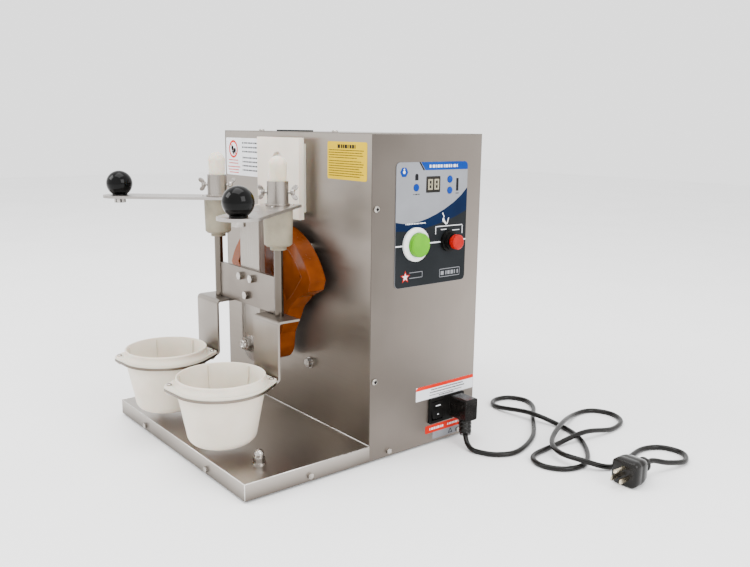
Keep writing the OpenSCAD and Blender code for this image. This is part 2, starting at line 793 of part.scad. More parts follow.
module bracket(s) {
    x = s * rod_x;
    color(steel) difference() {
        union() {
            translate([x - bracket_w / 2, 0, 0]) rotate([90, 0, 90])
                linear_extrude(bracket_w) polygon(bracket_profile());
            translate([x, bowl_y, ring_z]) {
                cylinder(r = ring_r, h = ring_t);
                rotate(ear_angle) for (e = [-1, 1])
                    translate([e * ear_out, 0, 0]) cylinder(r = ear_r, h = ring_t);
            }
            translate([0, 0, ring_z]) linear_extrude(ring_t) polygon([
                [x - bracket_w / 2, web_y - 12], [x - 52, bowl_y + 32],
                [x + 52, bowl_y + 32], [x + bracket_w / 2, web_y - 12]]);
        }
        translate([x, bowl_y, ring_z - 1]) cylinder(r = ring_hole_r, h = ring_t + 2);
        translate([x, out(rod_out), flange_z - 1]) cylinder(r = rod_bolt_r, h = flange_t + 2);
        translate([x, bowl_y, ring_z - 1]) rotate(ear_angle) for (e = [-1, 1])
            translate([e * ear_out, 0, 0]) cylinder(r = ear_bolt_r, h = ring_t + 2);
    }
}
module left_bracket() { bracket(-1); }
module right_bracket() { bracket(1); }

bowl_low = up(35);
bowl_high = up(121.7);
rim_r = bowl_d / 2;
bowl_top_r = 54.2;
bowl_foot_r = 44;
bowl_round = 14;
bowl_t = 2.6;
collar_z = ring_z + ring_t;

// Outside of the bowl from the middle of its foot up to the rim, then the inside back down
function bowl_profile() = concat(
    [[0, bowl_low]], arc([bowl_foot_r - bowl_round, bowl_low + bowl_round], bowl_round, -90, -4, 8),
    [[bowl_top_r, collar_z - 3], [bowl_top_r, collar_z], [rim_r + 1.6, collar_z], [rim_r + 1.6, collar_z + 4],
     [rim_r + 0.4, collar_z + 5.4], [rim_r, bowl_high - 1], [rim_r - 1, bowl_high],
     [rim_r - bowl_t + 0.6, bowl_high], [rim_r - bowl_t, bowl_high - 1],
     [bowl_top_r - bowl_t, collar_z - 3]],
    arc([bowl_foot_r - bowl_round, bowl_low + bowl_round], bowl_round - bowl_t, -4, -90, 8),
    [[0, bowl_low + bowl_t]]);

rib_n = 6;
module bowl(s) {
    color(cream) translate([s * rod_x, bowl_y, 0]) difference() {
        union() {
            rotate_extrude($fn = 96) polygon(bowl_profile());
            for (i = [0 : rib_n - 1]) rotate(50 + i * 360 / rib_n)
                translate([0, 0.6, 0]) rotate([90, 0, 0]) linear_extrude(1.2) polygon([
                    [bowl_foot_r - 3, bowl_low + 13], [bowl_top_r - 1, collar_z - 3],
                    [rim_r - 1.2, bowl_high - 2], [rim_r - 3.6, bowl_high - 2],
                    [bowl_top_r - 4, collar_z - 3], [bowl_foot_r - 4.6, bowl_low + 13]]);
            rotate(ear_angle) for (e = [-1, 1]) translate([e * ear_out, 0, collar_z]) difference() {
                cylinder(r = ear_r, h = 4);
                translate([-e * ear_out, 0, -1]) cylinder(r = rim_r, h = 6);
            }
        }
        rotate(ear_angle) for (e = [-1, 1])
            translate([e * ear_out, 0, collar_z - 1]) cylinder(r = ear_bolt_r, h = 6);
    }
}
module left_bowl() { bowl(-1); }
module right_bowl() { bowl(1); }

// ---- clamp heads ----

sleeve_low = up(272);
nozzle_h = 5;
arm_low = up(325);
arm_t = 3.6;
sleeve_top = arm_low - gap;
collar_low = arm_low + arm_t + gap;
collar_high = up(359);
dome_high = up(390.5);
bore_r = rod_r + fit;
head_angle = 50;
screw_z = up(345);
collar_r = 13.6;

module at_rod(s) { translate([s * rod_x, out(rod_out), 0]) children(); }

module sleeve(s) {
    color([0.88, 0.85, 0.8]) at_rod(s) difference() {
        union() {
            translate([0, 0, sleeve_low]) cylinder(r = 10.4, h = nozzle_h + 1);
            translate([0, 0, sleeve_low + nozzle_h]) cylinder(r1 = 15.5, r2 = 18, h = 2.5);
            translate([0, 0, sleeve_low + nozzle_h + 2.5])
                cylinder(r1 = 18, r2 = 19, h = sleeve_top - sleeve_low - nozzle_h - 2.5);
        }
        translate([0, 0, sleeve_low - 1]) cylinder(r = bore_r, h = sleeve_top);
    }
}

module collar(s) {
    color(steel) at_rod(s) difference() {
        union() {
            translate([0, 0, collar_low]) cylinder(r = 15.5, h = 2.2);
            translate([0, 0, collar_low]) cylinder(r = collar_r, h = collar_high - collar_low);
        }
        translate([0, 0, collar_low - 1]) cylinder(r = bore_r, h = collar_high);
        for (e = [0, 180]) rotate(head_angle + e)
            translate([0, 0, screw_z]) rotate([0, 90, 0]) cylinder(r = 2.1, h = 20);
    }
}

module dome(s) {
    cap_r = 12;
    color([0.93, 0.91, 0.87]) at_rod(s) rotate_extrude() polygon(concat(
        [[7.5, collar_high], [11.2, collar_high], [11.4, collar_high + 6]],
        arc([0, dome_high - cap_r], cap_r, -8, 90, 14),
        arc([0, dome_high - cap_r], cap_r - 3, 90, 0, 10),
        [[7.5, collar_high + 6]]));
}

function arm_turn(s) = s > 0 ? -arm_angle : 180 + arm_angle;
module arm(s) {
    color(steel) at_rod(s) rotate(arm_turn(s)) difference() {
        union() {
            span([-21, -arm_w / 2, arm_low], [arm_len - 2, arm_w / 2, arm_low + arm_t]);
            translate([arm_len - 2, 0, arm_low]) cylinder(r = arm_w / 2, h = arm_t);
        }
        translate([0, 0, arm_low - 1]) cylinder(r = rod_r + 0.3, h = arm_t + 2);
        translate([arm_len, 0, arm_low - 1]) cylinder(r = 4, h = arm_t + 2);
    }
}

module knob(s) {
    ball_r = knob_d / 2;
    ball_z = arm_low + arm_t + ball_r * 0.9;
    color(black) at_rod(s) rotate(arm_turn(s)) translate([arm_len, 0, 0]) {
        intersection() {
            union() {
                translate([0, 0, ball_z]) sphere(r = ball_r);
                translate([0, 0, arm_low + arm_t]) cylinder(r = 10.5, h = 8);
            }
            translate([-50, -50, arm_low + arm_t]) cube(100);
        }
        translate([0, 0, arm_low - 7]) cylinder(r = 4, h = arm_t + 7);
        translate([0, 0, arm_low - 7]) hexagon(13, 7);
    }
}

// Wing screw through the collar's wall, its tip just short of the rod
module wing_screw(s, e) {
    color(zinc) at_rod(s) rotate(head_angle + e) translate([0, 0, screw_z]) rotate([0, 90, 0]) {
        translate([0, 0, rod_r + 0.3]) cylinder(r = 2, h = 13);
        translate([0, 0, 17.4]) cylinder(r = 4, h = 5);
        for (w = [-1, 1]) translate([w * 6, -1, 21]) rotate([-90, 0, 0]) cylinder(r = 4, h = 2);
        translate([-6, -1, 18.5]) cube([12, 2, 3]);
    }
}

module left_sleeve() { sleeve(-1); }
module left_collar() { collar(-1); }
module left_dome() { dome(-1); }
module left_arm() { arm(-1); }
module left_knob() { knob(-1); }
module left_wing_screw_front() { wing_screw(-1, 180); }
module left_wing_screw_back() { wing_screw(-1, 0); }
module right_sleeve() { sleeve(1); }
module right_collar() { collar(1); }
module right_dome() { dome(1); }
module right_arm() { arm(1); }
module right_knob() { knob(1); }
module right_wing_screw_front() { wing_screw(1, 180); }
module right_wing_screw_back() { wing_screw(1, 0); }

base_tray();
rubber_feet();
foot_studs();
tray_bolts();
front_panel();
right_cover();
left_cover();
back_cover();
top_cover();
cover_screws();
guide_slab();
inner_frame();
bearings();
motor();
drive_belt();
control_board();
control_panel();
display_module();
start_bezel();
stop_base();
inlet_module();
power_connector();
power_cord();
power_plug();
start_button();
stop_button();
key_set();
key_up();
key_down();
rocker_switch();
motor_shaft();
motor_pulley();
crank_shaft();
crank_pulley();
counterweight();
crank_pin();
guide_bar();
pin_bush();
guide_roller();
cross_plate();
frame_bolts();
clamp_rods();
left_bracket();
right_bracket();
left_bowl();
right_bowl();
left_sleeve();
left_collar();
left_dome();
left_arm();
left_knob();
left_wing_screw_front();
left_wing_screw_back();
right_sleeve();
right_collar();
right_dome();
right_arm();
right_knob();
right_wing_screw_front();
right_wing_screw_back();
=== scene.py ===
import math

import bmesh
import bpy
from mathutils import Matrix, Vector


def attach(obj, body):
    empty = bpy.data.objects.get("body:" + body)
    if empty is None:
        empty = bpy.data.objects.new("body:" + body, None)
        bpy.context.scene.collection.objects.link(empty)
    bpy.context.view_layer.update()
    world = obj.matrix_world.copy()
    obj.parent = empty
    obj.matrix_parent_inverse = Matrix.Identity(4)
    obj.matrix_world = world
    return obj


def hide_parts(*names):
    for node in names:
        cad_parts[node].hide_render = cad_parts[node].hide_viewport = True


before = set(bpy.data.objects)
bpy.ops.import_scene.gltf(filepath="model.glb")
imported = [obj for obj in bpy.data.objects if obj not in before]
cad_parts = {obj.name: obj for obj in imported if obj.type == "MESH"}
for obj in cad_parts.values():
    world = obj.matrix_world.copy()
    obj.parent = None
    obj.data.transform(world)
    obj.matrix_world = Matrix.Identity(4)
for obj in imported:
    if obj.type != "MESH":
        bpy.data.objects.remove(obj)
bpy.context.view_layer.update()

# Lengths below are in millimetres; MM turns them into the frame's metres.
MM = 0.001
FRONT = -2.5  # front face of the housing
SIDE = 183.0  # right face of the housing
FACE = 184.0  # face of the control panel
PAPER = 0.2  # thickness of a label on the front sheet
INK = 0.06  # thickness of small print
ROD_X = 80  # distance of a clamp rod, and of a bowl's middle, from the centre line
ROD_OUT = 70  # distance of the rods in front of the housing
SIDES = (("left", -1), ("right", 1))


def out(d):
    """y of a plane d in front of the housing."""
    return FRONT - d


def up(h):
    """z of a height h above the skirt's lower edge, which is 3 mm above the floor."""
    return h + 3


# ---- camera, light and floor ----


def add_camera():
    """Camera to the right of the object and in front of it, looking slightly down."""
    place = Vector((929.2, -604.2, 427.9)) * MM
    az, down, roll = math.radians(50.84), math.radians(11.13), math.radians(0.70)
    fwd = Vector((-math.sin(az) * math.cos(down), math.cos(az) * math.cos(down), -math.sin(down)))
    right = Vector((math.cos(az), math.sin(az), 0))
    top = right.cross(fwd)
    r = math.cos(roll) * right + math.sin(roll) * top
    u = -math.sin(roll) * right + math.cos(roll) * top
    data = bpy.data.cameras.new("camera")
    data.lens = 37.75
    data.sensor_width = 36
    data.clip_start = 0.01
    cam = bpy.data.objects.new("camera", data)
    cam.matrix_world = Matrix.Translation(place) @ Matrix((r, u, -fwd)).transposed().to_4x4()
    bpy.context.scene.collection.objects.link(cam)
    bpy.context.scene.camera = cam


def add_light(name, place, target, size, power):
    """Rectangular lamp at a place, aimed at a target."""
    data = bpy.data.lights.new(name, "AREA")
    data.shape = "RECTANGLE"
    data.size, data.size_y = size
    data.energy = power
    lamp = bpy.data.objects.new(name, data)
    lamp.location = place
    lamp.rotation_euler = (Vector(target) - Vector(place)).to_track_quat("-Z", "Y").to_euler()
    bpy.context.scene.collection.objects.link(lamp)


def add_floor():
    """Pale plain floor."""
    half = 6  # metres
    mesh = bpy.data.meshes.new("floor")
    mesh.from_pydata([(-half, -half, 0), (half, -half, 0), (half, half, 0), (-half, half, 0)], [],
                     [(0, 1, 2, 3)])
    mesh.materials.append(floor_paint())
    floor = bpy.data.objects.new("floor", mesh)
    bpy.context.scene.collection.objects.link(floor)


def add_world():
    """Even white surroundings."""
    world = bpy.data.worlds.new("studio")
    world.use_nodes = True
    background = world.node_tree.nodes["Background"]
    background.inputs["Color"].default_value = (1, 1, 1, 1)
    background.inputs["Strength"].default_value = 2.0
    bpy.context.scene.world = world


# ---- material helpers ----


class Paint:
    """One node-based material: a Principled shader and helpers that feed it."""

    def __init__(self, name, colour, rough, metal=0.0):
        self.mat = bpy.data.materials.new(name)
        self.mat.use_nodes = True
        self.nodes = self.mat.node_tree.nodes
        self.links = self.mat.node_tree.links
        self.shader = self.nodes["Principled BSDF"]
        self.set("Base Color", (*colour, 1))
        self.set("Roughness", rough)
        self.set("Metallic", metal)
        self.normal = None

    def set(self, socket, value):
        self.shader.inputs[socket].default_value = value

    def noise(self, scale, stretch=(1, 1, 1), detail=4.0):
        """Smooth noise in object space, stretched along an axis where its factor is small."""
        coords = self.nodes.new("ShaderNodeTexCoord")
        mapping = self.nodes.new("ShaderNodeMapping")
        mapping.inputs["Scale"].default_value = stretch
        tex = self.nodes.new("ShaderNodeTexNoise")
        tex.inputs["Scale"].default_value = scale
        tex.inputs["Detail"].default_value = detail
        self.links.new(coords.outputs["Object"], mapping.inputs["Vector"])
        self.links.new(mapping.outputs["Vector"], tex.inputs["Vector"])
        return tex.outputs["Fac"]

    def spread(self, value, low, high, start=0.3, end=0.7):
        """Maps a 0-1 value to a number between low and high."""
        node = self.nodes.new("ShaderNodeMapRange")
        for key, number in (("From Min", start), ("From Max", end), ("To Min", low), ("To Max", high)):
            node.inputs[key].default_value = number
        self.links.new(value, node.inputs["Value"])
        return node.outputs["Result"]

    def mix(self, value, a, b, start=0.3, end=0.7):
        """Maps a 0-1 value to a colour between a and b."""
        node = self.nodes.new("ShaderNodeValToRGB")
        node.color_ramp.elements[0].position = start
        node.color_ramp.elements[1].position = end
        node.color_ramp.elements[0].color = (*a, 1)
        node.color_ramp.elements[1].color = (*b, 1)
        self.links.new(value, node.inputs["Fac"])
        return node.outputs["Color"]

    def slope(self, value, direction, offset, share):
        """Adds a slow rise along a direction of the frame to a 0-1 value; used to paint shade into a
        sheet's colour.
        """
        coords = self.nodes.new("ShaderNodeTexCoord")
        dot = self.nodes.new("ShaderNodeVectorMath")
        dot.operation = "DOT_PRODUCT"
        dot.inputs[1].default_value = direction
        self.links.new(coords.outputs["Object"], dot.inputs[0])
        rise = self.nodes.new("ShaderNodeMath")
        rise.operation = "MULTIPLY_ADD"
        rise.inputs[1].default_value = share
        rise.inputs[2].default_value = offset * share
        self.links.new(dot.outputs["Value"], rise.inputs[0])
        total = self.nodes.new("ShaderNodeMath")
        total.operation = "MULTIPLY_ADD"
        total.inputs[1].default_value = 1 - share
        self.links.new(value, total.inputs[0])
        self.links.new(rise.outputs["Value"], total.inputs[2])
        return total.outputs["Value"]

    def feed(self, value, socket):
        self.links.new(value, self.shader.inputs[socket])

    def bevel(self, radius):
        """Softens edges in shading; radius in millimetres."""
        node = self.nodes.new("ShaderNodeBevel")
        node.samples = 4
        node.inputs["Radius"].default_value = radius * MM
        self.normal = node.outputs["Normal"]
        self.feed(self.normal, "Normal")

    def bump(self, value, strength, depth):
        """Surface relief from a 0-1 value; depth in millimetres."""
        node = self.nodes.new("ShaderNodeBump")
        node.inputs["Strength"].default_value = strength
        node.inputs["Distance"].default_value = depth * MM
        self.links.new(value, node.inputs["Height"])
        if self.normal:
            self.links.new(self.normal, node.inputs["Normal"])
        self.feed(node.outputs["Normal"], "Normal")


def stainless(name, stretch, dark, light, rough, edge=0.5, slope=None):
    """Brushed sheet: fine streaks along one axis over slow, cloudy patches.

    The last argument, a direction and an offset, paints shade into the colour: the sheet gets lighter that
    way and darker the other way.
    """
    p = Paint(name, light, 0.3, 1.0)
    patches = p.noise(7, detail=3)
    streaks = p.noise(16, stretch, 8)
    if slope:
        # painted shade: the colour also rises and falls along a direction, over the random patches
        colour = p.mix(p.slope(patches, *slope, 0.68), dark, light, 0.1, 0.85)
    else:
        colour = p.mix(patches, dark, light, 0.35, 0.65)
    p.feed(colour, "Base Color")
    p.feed(p.spread(streaks, *rough), "Roughness")
    p.set("Anisotropic", 0.45)
    p.bevel(edge)
    p.bump(streaks, 0.01, 0.1)
    return p.mat


def plastic(name, dark, light, rough, scale=40, edge=0.5, soft=0.0, grain=0.03, shine=0.25):
    """Moulded plastic: slightly uneven colour and sheen, fine surface grain."""
    p = Paint(name, light, rough)
    patches = p.noise(scale, detail=5)
    p.feed(p.mix(patches, dark, light), "Base Color")
    p.feed(p.spread(patches, rough * 0.85, min(1.0, rough * 1.2)), "Roughness")
    p.set("Specular IOR Level", shine)
    if soft:
        p.set("Subsurface Weight", soft)
        p.set("Subsurface Scale", 0.006)
    p.bevel(edge)
    p.bump(p.noise(900, detail=2), grain, 0.1)
    return p.mat


def metal(name, dark, light, rough, edge=0.4):
    """Turned or plated hardware with fine wear."""
    p = Paint(name, light, rough, 1.0)
    wear = p.noise(160, detail=6)
    p.feed(p.mix(wear, dark, light), "Base Color")
    p.feed(p.spread(wear, rough * 0.7, rough * 1.4), "Roughness")
    p.bevel(edge)
    p.bump(wear, 0.04, 0.1)
    return p.mat


# directions of the brushing
LONG_X, LONG_Z = (0.6, 40, 40), (40, 40, 0.6)

# steel sheets and bars
# front sheet: painted shade, darker towards the bottom and lighter towards the top
front_steel = stainless(
    "brushed front sheet with painted shade", LONG_X, (0.13, 0.108, 0.086), (0.34, 0.305, 0.27),
    rough=(0.32, 0.4), edge=0.5, slope=((0, 0, 2.4), -0.05))
# side and back sheets: painted shade, lighter towards the back and the bottom, darker towards the front and
# the top
side_steel = stainless(
    "brushed side sheet with painted shade", LONG_Z, (0.09, 0.077, 0.066), (0.3, 0.262, 0.23),
    rough=(0.32, 0.4), edge=1.0, slope=((0, 3.2, -0.5), 0.25))
top_steel = stainless(
    "brushed top sheet", LONG_X, (0.2, 0.18, 0.16), (0.29, 0.262, 0.235), rough=(0.24, 0.36))
# tray: painted shade, its skirt darker towards the floor and lighter towards its top
tray_steel = stainless(
    "brushed tray sheet with painted shade", LONG_X, (0.12, 0.102, 0.086), (0.42, 0.385, 0.35),
    rough=(0.28, 0.34), edge=1.2, slope=((0, 0, 48), -0.25))
plate_steel = stainless(
    "brushed plate", LONG_X, (0.16, 0.137, 0.116), (0.25, 0.222, 0.195), rough=(0.28, 0.34), edge=0.7)
bracket_steel = stainless(
    "brushed bracket", LONG_Z, (0.22, 0.195, 0.17), (0.31, 0.28, 0.25), rough=(0.3, 0.36), edge=0.7)
rod_steel = stainless(
    "ground rod", (4, 4, 60), (0.075, 0.062, 0.05), (0.13, 0.112, 0.094), rough=(0.14, 0.18), edge=0.3)
ring_steel = stainless(
    "dull ring edge", (12, 12, 12), (0.1, 0.078, 0.06), (0.2, 0.17, 0.142), rough=(0.26, 0.34), edge=0.4)
bar_steel = stainless(
    "brushed bar", LONG_Z, (0.25, 0.225, 0.2), (0.34, 0.31, 0.28), rough=(0.26, 0.32), edge=0.6)
arm_steel = stainless(
    "brushed arm", LONG_X, (0.3, 0.28, 0.26), (0.42, 0.39, 0.37), rough=(0.26, 0.36), edge=0.6)

# hardware and castings
# bright metal for thin bars that paint highlights along the tray's folds and seam
fold_highlight_steel = metal("painted fold highlight", (0.6, 0.58, 0.55), (0.75, 0.73, 0.7), 0.3)
zinc = metal("plated hardware", (0.26, 0.24, 0.22), (0.5, 0.47, 0.44), 0.2)
dark_screw = metal("dark screw", (0.3, 0.28, 0.25), (0.5, 0.47, 0.43), 0.25)
cast = metal("dark cast iron", (0.1, 0.1, 0.1), (0.2, 0.2, 0.2), 0.55)
bronze = metal("bronze", (0.36, 0.23, 0.1), (0.5, 0.34, 0.16), 0.35)
brass = metal("plug blade", (0.5, 0.42, 0.3), (0.7, 0.62, 0.46), 0.22, 0.25)

# mouldings, cord and buttons
cream = plastic("cream nylon", (0.6, 0.54, 0.45), (0.72, 0.66, 0.58), 0.42, 14, 0.8, 0.25)
dome_plastic = plastic("milky dome", (0.6, 0.53, 0.42), (0.74, 0.685, 0.59), 0.22, 30, 0.5, 0.6)
bowl_plastic = plastic("bowl plastic", (0.6, 0.54, 0.44), (0.72, 0.665, 0.565), 0.38, 18, 0.5, 0.2)
sleeve_plastic = plastic("sleeve plastic", (0.15, 0.13, 0.088), (0.28, 0.25, 0.185), 0.5, 25, 0.8, 0.1)
knob_black = plastic("gloss black knob", (0.001, 0.001, 0.001), (0.002, 0.002, 0.002), 0.06, 60, 0.4,
                     grain=0.004, shine=0.12)
rubber = plastic("black rubber", (0.01, 0.01, 0.01), (0.02, 0.02, 0.02), 0.62, 90, 0.8, shine=0.12)
sheath = plastic("cord sheath", (0.003, 0.0027, 0.0024), (0.008, 0.007, 0.006), 0.24, 120, 0.4,
                 grain=0.04, shine=0.2)
black_plastic = plastic("black plastic", (0.002, 0.002, 0.002), (0.006, 0.0055, 0.005), 0.4, 70, 0.6,
                        shine=0.1)
white_plastic = plastic("white button ring", (0.78, 0.78, 0.76), (0.88, 0.88, 0.86), 0.22, 30, 0.6, 0.1)
green = plastic("green cap", (0.055, 0.26, 0.0), (0.1, 0.37, 0.0), 0.3, 40, 0.8, 0.05, shine=0.14)
red = plastic("red cap", (0.28, 0.002, 0.001), (0.42, 0.006, 0.004), 0.34, 40, 0.7, 0.02, shine=0.12)
blue_key = plastic("blue key", (0.0, 0.024, 0.2), (0.001, 0.042, 0.27), 0.35, 60, 0.3, shine=0.1)
board_green = plastic("circuit board", (0.03, 0.14, 0.06), (0.06, 0.24, 0.1), 0.4, 80)
motor_paint = plastic("motor paint", (0.1, 0.13, 0.16), (0.18, 0.22, 0.27), 0.4, 50, 1.0)

# printed panel and labels
print_grey = plastic("panel light grey", (0.19, 0.195, 0.21), (0.23, 0.237, 0.255), 0.4, 20, 0.3, shine=0.1)
print_dark = plastic("panel charcoal", (0.008, 0.0095, 0.011), (0.013, 0.015, 0.017), 0.4, 20, 0.1,
                     shine=0.06)
print_navy = plastic("panel navy", (0.0, 0.005, 0.024), (0.0, 0.01, 0.042), 0.4, 20, 0.1, shine=0.06)
print_blue = plastic("panel blue", (0.0, 0.024, 0.19), (0.001, 0.042, 0.25), 0.4, 20, 0.1, shine=0.08)
print_white = plastic("printed white", (0.66, 0.67, 0.69), (0.76, 0.77, 0.8), 0.4, 25, 0.1, shine=0.1)
print_black = plastic("printed black", (0.006, 0.006, 0.007), (0.015, 0.015, 0.017), 0.4, 60, 0.1,
                      shine=0.06)
print_red = plastic("printed red", (0.46, 0.006, 0.001), (0.6, 0.014, 0.002), 0.42, 30, 0.1, shine=0.08)
print_yellow = plastic("printed yellow", (0.56, 0.37, 0.0), (0.64, 0.43, 0.0), 0.45, 30, 0.1, shine=0.06)
window = plastic("display window", (0.01, 0.0095, 0.008), (0.02, 0.018, 0.015), 0.2, 50, 0.2,
                 grain=0.0, shine=0.12)
segment = plastic("unlit segment", (0.26, 0.23, 0.15), (0.34, 0.31, 0.22), 0.4, 90, 0.05, shine=0.1)


def orange_paint():
    """Sprayed casting: glossy, browner in slow patches."""
    p = Paint("orange enamel", (0.7, 0.25, 0.05), 0.22)
    patches = p.noise(16, detail=4)
    p.feed(p.mix(patches, (0.045, 0.008, 0.0), (0.25, 0.05, 0.0), 0.25, 0.7), "Base Color")
    p.feed(p.spread(patches, 0.3, 0.16), "Roughness")
    p.set("Specular IOR Level", 0.15)
    p.set("Coat Weight", 0.08)
    p.set("Coat Roughness", 0.1)
    p.bevel(1.6)
    p.bump(p.noise(120, detail=3), 0.12, 0.25)
    return p.mat


def floor_paint():
    """Matt floor with faint, slow clouds."""
    p = Paint("pale floor", (0.93, 0.93, 0.93), 0.75)
    p.feed(p.mix(p.noise(3, detail=2), (0.91, 0.91, 0.91), (0.94, 0.94, 0.94)), "Base Color")
    p.feed(p.spread(p.noise(40), 0.7, 0.8), "Roughness")
    return p.mat


orange = orange_paint()

# which pieces of the frame get which material
FINISH = {
    front_steel: ["front_panel"],
    side_steel: ["right_cover", "left_cover", "back_cover"],
    top_steel: ["top_cover"],
    tray_steel: ["base_tray"],
    plate_steel: ["cross_plate"],
    bracket_steel: ["left_bracket", "right_bracket"],
    bar_steel: ["guide_bar", "left_collar", "right_collar"],
    arm_steel: ["left_arm", "right_arm"],
    zinc: ["foot_studs", "tray_bolts", "crank_pin", "crank_shaft", "motor_shaft", "frame_bolts",
           "left_wing_screw_front", "left_wing_screw_back", "right_wing_screw_front",
           "right_wing_screw_back"],
    rod_steel: ["clamp_rods"],
    dark_screw: ["cover_screws"],
    cast: ["inner_frame", "bearings", "crank_pulley", "motor_pulley"],
    bronze: ["pin_bush"],
    cream: ["guide_slab", "guide_roller"],
    dome_plastic: ["left_dome", "right_dome"],
    bowl_plastic: ["left_bowl", "right_bowl"],
    sleeve_plastic: ["left_sleeve", "right_sleeve"],
    knob_black: ["left_knob", "right_knob"],
    rubber: ["rubber_feet", "drive_belt"],
    sheath: ["power_connector", "power_plug"],
    black_plastic: ["stop_base", "inlet_module", "rocker_switch"],
    white_plastic: ["start_bezel"],
    green: ["start_button"],
    red: ["stop_button"],
    blue_key: ["key_set", "key_up", "key_down"],
    board_green: ["control_board"],
    motor_paint: ["motor"],
    print_grey: ["control_panel"],
    window: ["display_module"],
    orange: ["counterweight"],
}
for finish, names in FINISH.items():
    for name in names:
        for material_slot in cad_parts[name].material_slots:
            material_slot.material = finish


# ---- mesh helpers ----


def mesh_object(name, verts, faces, material, body="housing", smooth=False):
    """Piece made of points in millimetres, riding on a body of the frame."""
    mesh = bpy.data.meshes.new(name)
    mesh.from_pydata([Vector(v) * MM for v in verts], [], faces)
    mesh.materials.append(material)
    mesh.validate()
    obj = bpy.data.objects.new(name, mesh)
    bpy.context.scene.collection.objects.link(obj)
    if smooth:
        for poly in mesh.polygons:
            poly.use_smooth = True
    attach(obj, body)
    return obj


def to_side(x, p):
    """Point of an outline in the plane x."""
    return (x, p[0], p[1])


def to_front(y, p):
    """Point of an outline in the plane y."""
    return (p[0], y, p[1])


def to_top(z, p):
    """Point of an outline in the plane z."""
    return (p[0], p[1], z)


def skin(first, n, rows):
    """Faces round a tube whose rows of n points follow each other from point first."""
    return [(first + i * n + k, first + i * n + (k + 1) % n,
             first + (i + 1) * n + (k + 1) % n, first + (i + 1) * n + k)
            for i in range(rows - 1) for k in range(n)]


def caps(first, n, rows):
    """The two end faces of such a tube."""
    last = first + (rows - 1) * n
    return [tuple(range(first, first + n)), tuple(range(last, last + n))]


def ring(centre, r, u, v, n):
    """n points round a centre, in the plane of the unit vectors u and v."""
    turns = [2 * math.pi * k / n for k in range(n)]
    return [centre + r * (math.cos(a) * u + math.sin(a) * v) for a in turns]


def solids(name, outlines, low, high, place, material, body="housing"):
    """One mesh of flat prisms: each outline in the plane, from level low to level high."""
    verts, faces = [], []
    for line in outlines:
        n, k = len(line), len(verts)
        verts += [place(low, p) for p in line] + [place(high, p) for p in line]
        faces += caps(k, n, 2) + skin(k, n, 2)
    return tidy_normals(mesh_object(name, verts, faces, material, body))


def tidy_normals(obj):
    """Turns all faces of a closed piece outwards."""
    bm = bmesh.new()
    bm.from_mesh(obj.data)
    bmesh.ops.recalc_face_normals(bm, faces=bm.faces)
    bm.to_mesh(obj.data)
    bm.free()
    return obj


def rect(u0, v0, u1, v1):
    """Corners of a rectangle between two opposite ones."""
    return [(u0, v0), (u1, v0), (u1, v1), (u0, v1)]


def arc(c, r, a0, a1, n):
    """n + 1 points round c from angle a0 to a1, in degrees."""
    return [(c[0] + r * math.cos(math.radians(a0 + (a1 - a0) * i / n)),
             c[1] + r * math.sin(math.radians(a0 + (a1 - a0) * i / n))) for i in range(n + 1)]


def annulus(c, r_out, r_in, a0, n):
    """Quadrilaterals round c between two radii; n = 3 makes a triangle's outline."""
    outer, inner = arc(c, r_out, a0, a0 + 360, n), arc(c, r_in, a0, a0 + 360, n)
    return [[outer[i], outer[i + 1], inner[i + 1], inner[i]] for i in range(n)]


def round_rect(u0, v0, u1, v1, r):
    """Rectangle with corners of radius r."""
    return (arc((u1 - r, v1 - r), r, 0, 90, 6) + arc((u0 + r, v1 - r), r, 90, 180, 6)
            + arc((u0 + r, v0 + r), r, 180, 270, 6) + arc((u1 - r, v0 + r), r, 270, 360, 6))


def print_lines(rows, step=3.1, word=2.2):
    """Rows of short dashes that stand for lines of small print: (u0, u1, v, height)."""
    marks = []
    for u0, u1, v, h in rows:
        u, k = u0, 0
        while u < u1:
            w = word * (1 + 0.5 * math.sin(2.3 * k + v))
            marks.append(rect(u, v, min(u + w, u1), v + h))
            u += w + (step - word) * (1 if k % 4 else 1.8)
            k += 1
    return marks


def lathe(name, profile, centre, material, body, turns=64):
    """Surface of revolution about a vertical line through centre, from (r, z) points."""
    verts = []
    for r, z in profile:
        verts += [(centre[0] + r * math.cos(2 * math.pi * k / turns),
                   centre[1] + r * math.sin(2 * math.pi * k / turns), z) for k in range(turns)]
    faces = skin(0, turns, len(profile))
    return tidy_normals(mesh_object(name, verts, faces, material, body, True))


def swept(name, sections, material, body="housing"):
    """Closed solid skinned over sections of equal length, ends capped."""
    n, rows = len(sections[0]), len(sections)
    verts = [p for s in sections for p in s]
    faces = skin(0, n, rows) + caps(0, n, rows)
    return tidy_normals(mesh_object(name, verts, faces, material, body, True))


# ---- cord ----

